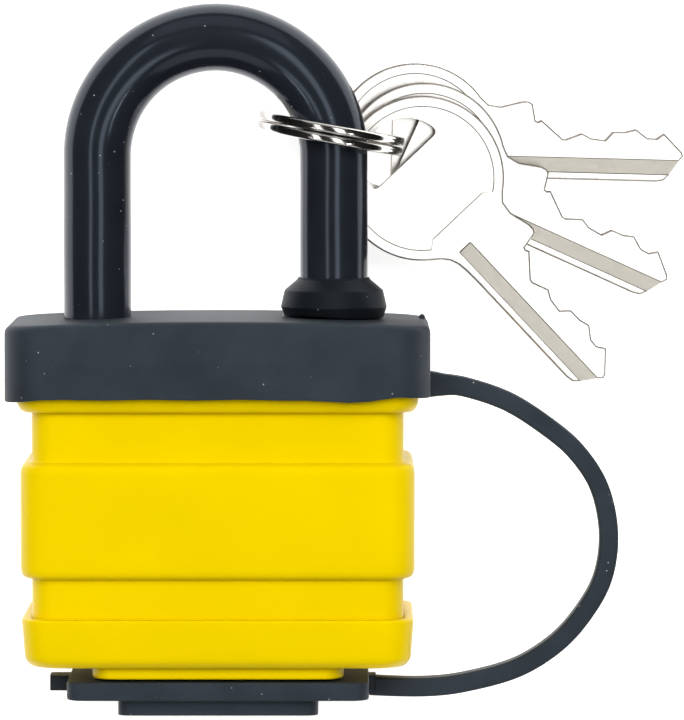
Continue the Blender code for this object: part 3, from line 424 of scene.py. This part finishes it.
def sheath(radius):
    """A tube round the shackle's line: line + r (cos a outward + sin a z), with r swelling by
    0.02 mm in slow waves along it and round it."""
    a = np.arange(sleeve_sides)[None, :] * math.tau / sleeve_sides
    line_x, line_y, out = (values[:, None] for values in (shackle_x, shackle_y, outward))
    wave = 0.012 * np.sin(line_y / 2.3 + 2 * a) + 0.010 * np.sin(line_x / 1.9 + 3 * a + 1)
    return np.stack([line_x + (radius + wave) * np.cos(a) * np.cos(out),
                     line_y + (radius + wave) * np.cos(a) * np.sin(out),
                     LOCK_MIDDLE + (radius + wave) * np.sin(a)], axis=-1)


# Black PVC, extruded: a deep cool black with a satin gloss and a little dust.
sleeve_pvc = dusty_black("extruded_black_pvc", "#191c22", "#1e2228", 0.17, 0.45, 0.000003)
skin_outside, skin_inside = sheath(SLEEVE_RADIUS), sheath(SLEEVE_RADIUS - SLEEVE_WALL)
sleeve = grid_piece("shackle_sheath", np.concatenate([skin_outside, skin_inside[::-1]]), sleeve_pvc,
                    rows_meet=True)
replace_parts(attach(sleeve, "shackle"), "shackle_sleeve")

# --- Seal on the toe leg ---------------------------------------------------------------------
# A rubber collar moulded to the toe leg. It stands on the top cover when the lock is shut and
# keeps water from the hole. Its base has been squeezed, so its edge lies in a slow wave.
SEAL_LOW, SEAL_BORE = 23.1, 3.5
# Each row is a radius, two unused places that the easing expects, and a height.
seal_profile = eased([(SEAL_BORE, 0, 0, SEAL_LOW), (5.75, 0, 0, SEAL_LOW), (6.25, 0, 0, 24.5),
                      (5.8, 0, 0, 26.45), (4.3, 0, 0, 27.72), (4.2, 0, 0, 27.95),
                      (SEAL_BORE, 0, 0, 27.95)], [0.1, 0.2, 0.12, 0.12, 0.06, 0.06, 0.1])
seal_angle = np.arange(96)[None, :] * math.tau / 96
seal_radius, seal_height = seal_profile[:, :1], seal_profile[:, 3:]
# The foot is 0 at the collar's bore and top, and 1 at the outer edge of its base.
foot = np.clip((24.6 - seal_height) / 1.1, 0, 1) * np.clip((seal_radius - 4.5) / 1.2, 0, 1)
lifted = foot * (0.22 * np.sin(2 * seal_angle - 2.2) + 0.12 * np.sin(3 * seal_angle + 0.6) + 0.2)
flare = foot * 0.10 * np.sin(3 * seal_angle + 2.0)
seal_grid = np.stack([TOE_X + (seal_radius + flare) * np.cos(seal_angle), seal_height + lifted,
                      LOCK_MIDDLE + (seal_radius + flare) * np.sin(seal_angle)], axis=-1)
# A softer mix of the same rubber, which is darker and has the same dust.
seal_rubber = dusty_black("moulded_seal_rubber", "#0e1114", "#15191c", 0.5, 0.3, 0.00006)
toe_seal = grid_piece("toe_leg_seal", seal_grid, seal_rubber, rows_meet=True)
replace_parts(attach(toe_seal, "shackle"), "shackle_seal")

# --- Split ring ------------------------------------------------------------------------------
# Two turns of flattened spring wire, nickel plated, that spring together. The wire steps from
# one level to the other at the back of the ring, on the side that faces the table.
RING_RADIUS, RING_PLAY, RING_PLACE = 8.78, 0.8, (13.16, 44.86)
WIRE_WIDE, WIRE_TALL, COIL_GAP, WIRE_SIDES = 1.25, 1.07, 0.12, 20
STEP_ANGLE, END_ANGLE = math.radians(22), 0.06
ring_slope, ring_lean, crossover = math.radians(10.7), math.radians(-0.4), math.radians(255)
ring_across = np.array((math.cos(ring_slope), -math.sin(ring_slope), 0))
ring_up = np.array((0, -math.sin(ring_lean), math.cos(ring_lean)))
ring_up -= ring_across * ring_up.dot(ring_across)
ring_up /= np.linalg.norm(ring_up)
ring_axis = np.cross(ring_up, ring_across)
ring_depth = LOCK_MIDDLE + SLEEVE_RADIUS + RING_PLAY - RING_RADIUS + WIRE_WIDE
ring_centre = np.array((*RING_PLACE, ring_depth))
wire_radius, coil_lift = RING_RADIUS - WIRE_WIDE / 2, (WIRE_TALL + COIL_GAP) / 2
sweep = np.linspace(STEP_ANGLE + END_ANGLE, 2 * math.tau - STEP_ANGLE - END_ANGLE, 260)[:, None]
level = coil_lift * np.sin(np.clip((sweep - math.tau) / STEP_ANGLE, -1, 1) * math.pi / 2)
wire_out = np.cos(sweep + crossover) * ring_across + np.sin(sweep + crossover) * ring_up
wire_line = ring_centre + wire_radius * wire_out + level * ring_axis
wire_turn = (np.arange(WIRE_SIDES) + 0.5)[None, :, None] * math.tau / WIRE_SIDES


def flattened(angle, power=0.62):
    """A circle pressed towards a square: sign(c) |c|^power of its cosine or sine."""
    return np.sign(angle) * np.abs(angle) ** power


wire_grid = (wire_line[:, None, :]
             + WIRE_WIDE / 2 * flattened(np.cos(wire_turn)) * wire_out[:, None, :]
             + WIRE_TALL / 2 * flattened(np.sin(wire_turn)) * ring_axis)

# Bright nickel on spring steel: a slightly warm mirror with a faint ripple about 1.4 mm long.
ring_nickel, shader = new_material("bright_nickel_plated_wire", {
    "Metallic": 1.0, "Roughness": 0.13, "Base Color": linear("#d6d2cd")})
place = add_node(ring_nickel, "ShaderNodeTexCoord")
ripple = add_node(ring_nickel, "ShaderNodeTexNoise", {"Scale": 700.0, "Detail": 2.0},
                  Vector=place.outputs["Object"])
bump = add_node(ring_nickel, "ShaderNodeBump", {"Strength": 0.2, "Distance": 0.0001},
                Height=ripple.outputs["Fac"])
ring_nickel.node_tree.links.new(bump.outputs["Normal"], shader.inputs["Normal"])
key_ring = grid_piece("key_ring", wire_grid, ring_nickel)
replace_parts(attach(key_ring, "ring"), "split_ring")

# --- Keys ------------------------------------------------------------------------------------
# Three like keys, blanked from brass strip and nickel plated. Each has a round bow with a sunk
# panel and a ring hole, one milled groove, a thinned back edge, and four cuts for the pins.
KEY_THICKNESS, KEY_GAP, KEY_TILT, KEY_EDGE = 1.75, 0.2, math.radians(4.8), 0.2
KEY_HEADINGS = np.radians((-46.8, -24.4, -1.6))
KEY_REACH, KEY_SIDE = (5.2, 5.3, 5.35), (0.3, 0.5, 0.5)
BOW_RADIUS, HOLE_RADIUS, HOLE_CHORD, HOLE_CORNER = 9.78, 5.15, 2.75, 0.75
PANEL_RADIUS, PANEL_CHORD, PANEL_DEPTH = 8.5, 6.1, 0.12
BLADE_BACK, KEY_TIP = -3.62, 32.3
GROOVE_START, GROOVE_LOW, GROOVE_HIGH, GROOVE_DEPTH, GROOVE_SLANT = 9.4, -2.72, -1.05, 0.3, 0.18
PAST_FACE, PANEL_SLANT = 0.3, 0.45          # how far a cutter stands out, and how its walls slope


def arc(radius, start, end, count):
    """Points on a circle about the bow's centre, from one angle in degrees to another."""
    angle = np.radians(np.linspace(start, end, count))
    return np.stack([radius * np.cos(angle), radius * np.sin(angle)], axis=-1)


key_outline = np.concatenate([
    arc(BOW_RADIUS, 42, 322, 90),
    [(8.6, -4.9), (9.4, -4.25), (10.4, -3.85), (11.8, -3.68), (13.6, BLADE_BACK),
     (29.1, BLADE_BACK), (30.0, -3.45), (30.6, -2.8), (31.7, -1.2), (KEY_TIP, -0.5),
     (KEY_TIP - 0.2, 0.0), (29.9, 2.2), (28.95, 1.54), (27.9, 1.6), (26.5, 2.63), (25.2, 2.25),
     (23.7, 2.24), (22.8, 1.22), (21.1, 1.4), (20.0, 1.98), (18.1, 1.2), (17.7, 1.23),
     (15.1, 3.43), (14.7, 3.2), (14.4, 3.3), (14.15, 4.6), (14.0, 5.3), (13.5, 5.6), (12.8, 5.6),
     (10.2, 4.9), (8.7, 5.1), (7.7, 6.0)]])
turn_in = np.linspace(0, 1, 6)[:, None]         # round the hole's corners: a quadratic curve
hole_corner = np.array((-HOLE_CHORD, HOLE_RADIUS))
hole_corner = ((1 - turn_in) ** 2 * (hole_corner - (0, HOLE_CORNER * 1.2))
               + 2 * turn_in * (1 - turn_in) * hole_corner
               + turn_in ** 2 * (hole_corner - (HOLE_CORNER, 0.06)))
hole_outline = np.concatenate([hole_corner, arc(HOLE_RADIUS, 101, 259, 40) - (HOLE_CHORD, 0),
                               hole_corner[::-1] * (1, -1)])
panel_outline = np.concatenate([arc(PANEL_RADIUS, 36, 324, 60),
                                [(PANEL_CHORD, -4.0), (PANEL_CHORD, 4.0)]])


def blanked(name, outlines, half_thickness, edge, material):
    """A plate from flat outlines, the later ones as holes, with its edges rounded by `edge`; it
    is a filled curve thickened both ways and made a mesh."""
    curve = bpy.data.curves.new(name, "CURVE")
    curve.dimensions, curve.fill_mode = "2D", "BOTH"
    curve.extrude, curve.bevel_depth, curve.bevel_resolution = half_thickness - edge, edge, 2
    curve.offset = -edge
    for outline in outlines:
        spline = curve.splines.new("POLY")
        spline.points.add(len(outline) - 1)
        flat = np.pad(outline, ((0, 0), (0, 2)))
        flat[:, 3] = 1                                  # each point's weight
        spline.points.foreach_set("co", flat.ravel())
        spline.use_cyclic_u = True
    holder = bpy.data.objects.new(name, curve)
    bpy.context.scene.collection.objects.link(holder)
    bpy.context.view_layer.update()
    mesh = bpy.data.meshes.new_from_object(holder.evaluated_get(
        bpy.context.evaluated_depsgraph_get()))
    bpy.data.objects.remove(holder)
    mesh.materials.clear()
    mesh.materials.append(material)
    tidy = bmesh.new()
    tidy.from_mesh(mesh)
    bmesh.ops.remove_doubles(tidy, verts=tidy.verts, dist=1e-4)
    bmesh.ops.recalc_face_normals(tidy, faces=tidy.faces)
    tidy.to_mesh(mesh)
    tidy.free()
    piece = bpy.data.objects.new(name, mesh)
    bpy.context.scene.collection.objects.link(piece)
    return piece


# The cutter leaves the groove's floor duller and greyer than the strip's face.
milled_nickel, shader = new_material("nickel_plated_milled_brass", {
    "Metallic": 1.0, "Base Color": linear("#b9b5ab")})
place = add_node(milled_nickel, "ShaderNodeTexCoord")
chatter = add_node(milled_nickel, "ShaderNodeTexNoise", {"Scale": 2200.0, "Detail": 4.0},
                   Vector=place.outputs["Object"])
bump = add_node(milled_nickel, "ShaderNodeBump", {"Strength": 0.35, "Distance": 0.00006},
                Height=chatter.outputs["Fac"])
rub = add_node(milled_nickel, "ShaderNodeMapRange", {"To Min": 0.26, "To Max": 0.42},
               Value=chatter.outputs["Fac"])
milled_nickel.node_tree.links.new(rub.outputs["Result"], shader.inputs["Roughness"])
milled_nickel.node_tree.links.new(bump.outputs["Normal"], shader.inputs["Normal"])


def tapered(name, outline, low, high, spread, material):
    """A cutter that is an outline at one height and the same outline, moved out by `spread` from
    its own middle, at the other: its walls slope."""
    middle = outline.mean(axis=0)
    out = outline - middle
    out /= np.linalg.norm(out, axis=1)[:, None]
    rows = [np.concatenate([outline + shift * out, np.full((len(outline), 1), height)], axis=1)
            for shift, height in ((0, low), (spread, high))]
    return grid_piece(name, np.array(rows) / MM, material)


# Nickel plate on blanked brass: a clean warm white mirror, softened by fine handling marks about
# 1 mm apart.
key_nickel, shader = new_material("nickel_plated_brass", {"Metallic": 1.0})
place = add_node(key_nickel, "ShaderNodeTexCoord")
handling = add_node(key_nickel, "ShaderNodeTexNoise", {"Scale": 900.0, "Detail": 5.0},
                    Vector=place.outputs["Object"])
bump = add_node(key_nickel, "ShaderNodeBump", {"Strength": 0.06, "Distance": 0.00005},
                Height=handling.outputs["Fac"])
rub = add_node(key_nickel, "ShaderNodeMapRange", {"To Min": 0.24, "To Max": 0.33},
               Value=handling.outputs["Fac"])
plating = add_node(key_nickel, "ShaderNodeValToRGB", Fac=handling.outputs["Fac"])
for stop, position, colour in zip(plating.color_ramp.elements, (0.3, 0.55), ("#d9d6d0", "#e6e4e0")):
    stop.position, stop.color = position, linear(colour)
key_nickel.node_tree.links.new(plating.outputs["Color"], shader.inputs["Base Color"])
key_nickel.node_tree.links.new(rub.outputs["Result"], shader.inputs["Roughness"])
key_nickel.node_tree.links.new(bump.outputs["Normal"], shader.inputs["Normal"])

half = KEY_THICKNESS / 2
key_blank = blanked("key_blank", [key_outline, hole_outline], half, KEY_EDGE, key_nickel)
milled = []
for face in (1, -1):
    milled.append(tapered(f"panel_cutter_{face}", panel_outline, face * (half - PANEL_DEPTH),
                          face * (half + 0.4), PANEL_SLANT, key_nickel))
    groove = [[(u, GROOVE_LOW, face * height), (u, GROOVE_HIGH, face * height),
               (u, GROOVE_HIGH + GROOVE_SLANT, face * (half + PAST_FACE)),
               (u, GROOVE_LOW - GROOVE_SLANT, face * (half + PAST_FACE))]
              for u, height in ((GROOVE_START - 0.05, half + 0.05),
                                (GROOVE_START + 0.15, half - GROOVE_DEPTH),
                                (KEY_TIP + 1, half - GROOVE_DEPTH))]
    milled.append(grid_piece(f"groove_cutter_{face}", np.array(groove) / MM, milled_nickel))
joined(key_blank, milled)

# Where the strip is sheared or cut its walls are rough, and the plating over them is thin: a dull
# brownish grey that is partly their own colour and partly painted shade, dark enough that every
# edge and the ring hole read as dark outlines. They are the faces that do not lie flat.
LIES_FLAT, KEY_SHARP_ANGLE = 0.94, 8
edge_wall_and_painted_shade, shader = new_material("sheared_brass_with_painted_edge_shade", {
    "Metallic": 1.0, "Roughness": 0.38})
place = add_node(edge_wall_and_painted_shade, "ShaderNodeTexCoord")
tearing = add_node(edge_wall_and_painted_shade, "ShaderNodeTexNoise", {"Scale": 1500.0, "Detail": 3.0},
                   Vector=place.outputs["Object"])
wall_tone_and_edge_shade = add_node(edge_wall_and_painted_shade, "ShaderNodeValToRGB", Fac=tearing.outputs["Fac"])
for stop, colour in zip(wall_tone_and_edge_shade.color_ramp.elements, ("#6e635a", "#a89c90")):
    stop.color = linear(colour)
edge_wall_and_painted_shade.node_tree.links.new(wall_tone_and_edge_shade.outputs["Color"], shader.inputs["Base Color"])
key_blank.data.materials.append(edge_wall_and_painted_shade)
# The painted edge shade goes on every face that does not lie flat.
for face in key_blank.data.polygons:
    if abs(face.normal.z) < LIES_FLAT:
        face.material_index = len(key_blank.data.materials) - 1

key_level_axis = np.array((math.sin(KEY_TILT), 0, math.cos(KEY_TILT)))
key_level_x = np.array((math.cos(KEY_TILT), 0, -math.sin(KEY_TILT)))
key_level_y = np.array((0, 1, 0))
leg_centre = np.array((TOE_X, ring_centre[1], LOCK_MIDDLE))
first_level = (leg_centre - ring_centre).dot(key_level_axis) - SLEEVE_RADIUS - KEY_GAP - half
rise_across, rise_up = ring_across.dot(key_level_axis), ring_up.dot(key_level_axis)
flat = np.zeros(len(key_blank.data.vertices) * 3)
key_blank.data.vertices.foreach_get("co", flat)
flat = flat.reshape(-1, 3)
for number, (body, key_heading, reach, side) in enumerate(zip(
        ("first_key", "second_key", "third_key"), KEY_HEADINGS, KEY_REACH, KEY_SIDE), start=1):
    depth = first_level - (number - 1) * (KEY_THICKNESS + KEY_GAP)
    spot = (math.asin(depth / wire_radius / math.hypot(rise_across, rise_up))
            - math.atan2(rise_across, rise_up))
    wire = ring_centre + wire_radius * (math.cos(spot) * ring_across + math.sin(spot) * ring_up)
    along = math.cos(key_heading) * key_level_x + math.sin(key_heading) * key_level_y
    aside = -math.sin(key_heading) * key_level_x + math.cos(key_heading) * key_level_y
    bow = wire + reach * along - side * aside
    placed = bow + flat[:, :1] * along + flat[:, 1:2] * aside + flat[:, 2:] * key_level_axis
    mesh = key_blank.data.copy()
    mesh.vertices.foreach_set("co", (placed * MM).ravel())
    mesh.shade_smooth()
    mesh.set_sharp_from_angle(angle=math.radians(KEY_SHARP_ANGLE))
    key = bpy.data.objects.new(f"lock_key_{number}", mesh)
    bpy.context.scene.collection.objects.link(key)
    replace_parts(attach(key, body), f"key_{number}")
bpy.data.objects.remove(key_blank)

# --- Works inside ----------------------------------------------------------------------------
# Under the jacket is the lock itself: a stack of punched steel plates held by four rivets, a
# brass pin cylinder, a cam and latch, and the heel's spring and pin. The frame's own parts show.


def metal(name, colour, roughness, grain_scale, grain_depth, stretch=(1, 1, 1)):
    """A bare metal: its tone and roughness drift with a noise, whose grain a Mapping stretches."""
    material, shader = new_material(name, {"Metallic": 1.0, "Base Color": linear(colour)})
    place = add_node(material, "ShaderNodeTexCoord")
    laid = add_node(material, "ShaderNodeMapping", {"Scale": stretch},
                    Vector=place.outputs["Object"])
    grain = add_node(material, "ShaderNodeTexNoise", {"Scale": grain_scale, "Detail": 4.0},
                     Vector=laid.outputs["Vector"])
    rub = add_node(material, "ShaderNodeMapRange", {"To Min": roughness - 0.06,
                                                    "To Max": roughness + 0.08},
                   Value=grain.outputs["Fac"])
    bump = add_node(material, "ShaderNodeBump", {"Strength": 0.3, "Distance": grain_depth},
                    Height=grain.outputs["Fac"])
    material.node_tree.links.new(rub.outputs["Result"], shader.inputs["Roughness"])
    material.node_tree.links.new(bump.outputs["Normal"], shader.inputs["Normal"])
    return material


# Cold-rolled mild steel, punched and oiled: grey, with rolling lines along X every 0.3 mm.
plate_steel = metal("punched_rolled_steel", "#a9abad", 0.42, 900.0, 0.00003, (0.2, 1, 3))
# Hardened and ground boron steel: a brighter, finer grey with grinding lines across the bar.
ground_steel = metal("ground_hardened_steel", "#c3c4c6", 0.3, 1500.0, 0.00002, (0.3, 3, 0.3))
# Leaded brass, turned and broached: yellow-gold with fine tool marks round each part.
turned_brass = metal("turned_leaded_brass", "#e0c078", 0.28, 1400.0, 0.00002, (0.3, 4, 0.3))
# Hard-drawn spring wire: dark grey and smooth.
drawn_wire = metal("drawn_spring_wire", "#98999c", 0.25, 1800.0, 0.00001)
SLOT_MATERIALS = {"laminated_steel": plate_steel, "hardened_steel": ground_steel,
                  "brass": turned_brass, "spring_steel": drawn_wire,
                  "yellow_plastic": yellow_abs, "black_rubber": cover_rubber,
                  "black_sleeve": sleeve_pvc, "nickel_plate": key_nickel}
for part in frame["record"]["subparts"]:
    node = frame["nodes"][part["node"]]
    node.data.materials.clear()
    node.data.materials.append(SLOT_MATERIALS[part["material_slot"]])

# --- Floor, light and camera -----------------------------------------------------------------
# A white acrylic table, lit from below so that no shadow gathers round the lock. A wide fill and
# two tall soft boxes hang over it, a broad strip stands past each end, two small kickers brighten
# the shackle's outer edges, and the room is pale.
floor_level = cad_low.z / MM
FLOOR_HALF = 3000.0
floor_paint, shader = new_material("backlit_white_acrylic", {
    "Base Color": linear("#fafafa"), "Roughness": 0.9, "Specular IOR Level": 0.1,
    "Emission Color": linear("#ffffff"), "Emission Strength": 0.68})
place = add_node(floor_paint, "ShaderNodeTexCoord")
fibre = add_node(floor_paint, "ShaderNodeTexNoise", {"Scale": 300.0, "Detail": 3.0},
                 Vector=place.outputs["Object"])
bump = add_node(floor_paint, "ShaderNodeBump", {"Strength": 0.03, "Distance": 0.0001},
                Height=fibre.outputs["Fac"])
floor_paint.node_tree.links.new(bump.outputs["Normal"], shader.inputs["Normal"])
floor_points = np.array([(x * FLOOR_HALF, y * FLOOR_HALF, floor_level)
                         for x, y in ((-1, -1), (1, -1), (1, 1), (-1, 1))])
floor = add_piece("floor", floor_points, [[0, 1, 2, 3]], floor_paint)

world = bpy.data.worlds.new("pale_room")
world.use_nodes = True
sky = world.node_tree.nodes["Background"]
direction = add_node(world, "ShaderNodeTexCoord")
height = add_node(world, "ShaderNodeSeparateXYZ", _0=direction.outputs["Generated"])
glow = add_node(world, "ShaderNodeMapRange", {"From Min": 0.3, "From Max": 0.85, "To Min": 0.2,
                                              "To Max": 0.4}, Value=height.outputs["Z"])
world.node_tree.links.new(glow.outputs["Result"], sky.inputs["Strength"])
bpy.context.scene.world = world
bpy.context.scene.view_settings.view_transform = "Standard"

LOOK_AT = Vector((14.5, 18.6, 20.0))


def soft_box(name, place, width, height, power, mirrored=True, along=(0, 1, 0)):
    """An area light at a place in millimetres that faces the lock, its height laid along a
    direction: its axes are (up x back, up, back). A fill isn't mirrored in the lock."""
    light = bpy.data.lights.new(name, "AREA")
    light.shape, light.energy = "RECTANGLE", power
    light.size, light.size_y = width * MM, height * MM
    holder = bpy.data.objects.new(name, light)
    holder.location = Vector(place) * MM
    back = (Vector(place) - LOOK_AT).normalized()
    up = Vector(along)
    up = (up - back * up.dot(back)).normalized()
    holder.rotation_euler = Matrix((up.cross(back), up, back)).transposed().to_euler()
    holder.visible_glossy = mirrored
    bpy.context.scene.collection.objects.link(holder)


soft_box("overhead_fill", (14.0, 1100.0, 2200.0), 2000.0, 1600.0, 68.0, mirrored=False)
soft_box("left_soft_box", (-560.0, 60.0, 1500.0), 240.0, 1500.0, 2.9)
soft_box("right_soft_box", (370.0, 60.0, 1560.0), 380.0, 1500.0, 4.8)
soft_box("upper_strip", (14.0, 1500.0, 900.0), 1800.0, 1100.0, 3.8)
soft_box("lower_strip", (14.0, -1400.0, 900.0), 1800.0, 1100.0, 5.0)
soft_box("left_kicker", (-880.0, -650.0, 1450.0), 400.0, 60.0, 1.1, along=(-0.8, -0.6, 0))
soft_box("right_kicker", (830.0, -430.0, 1450.0), 400.0, 60.0, 1.1, along=(0.89, -0.46, 0))

EYE = Vector((14.5, 61.0, 720.0))
camera = bpy.data.cameras.new("camera")
camera.lens, camera.sensor_width = 300.15, 36.0
camera.clip_start, camera.clip_end = 0.05, 20.0
camera_holder = bpy.data.objects.new("camera", camera)
camera_holder.location = EYE * MM
camera_holder.rotation_euler = (math.atan2(LOOK_AT.y - EYE.y, EYE.z - LOOK_AT.z), 0, 0)
bpy.context.scene.collection.objects.link(camera_holder)
bpy.context.scene.camera = camera_holder
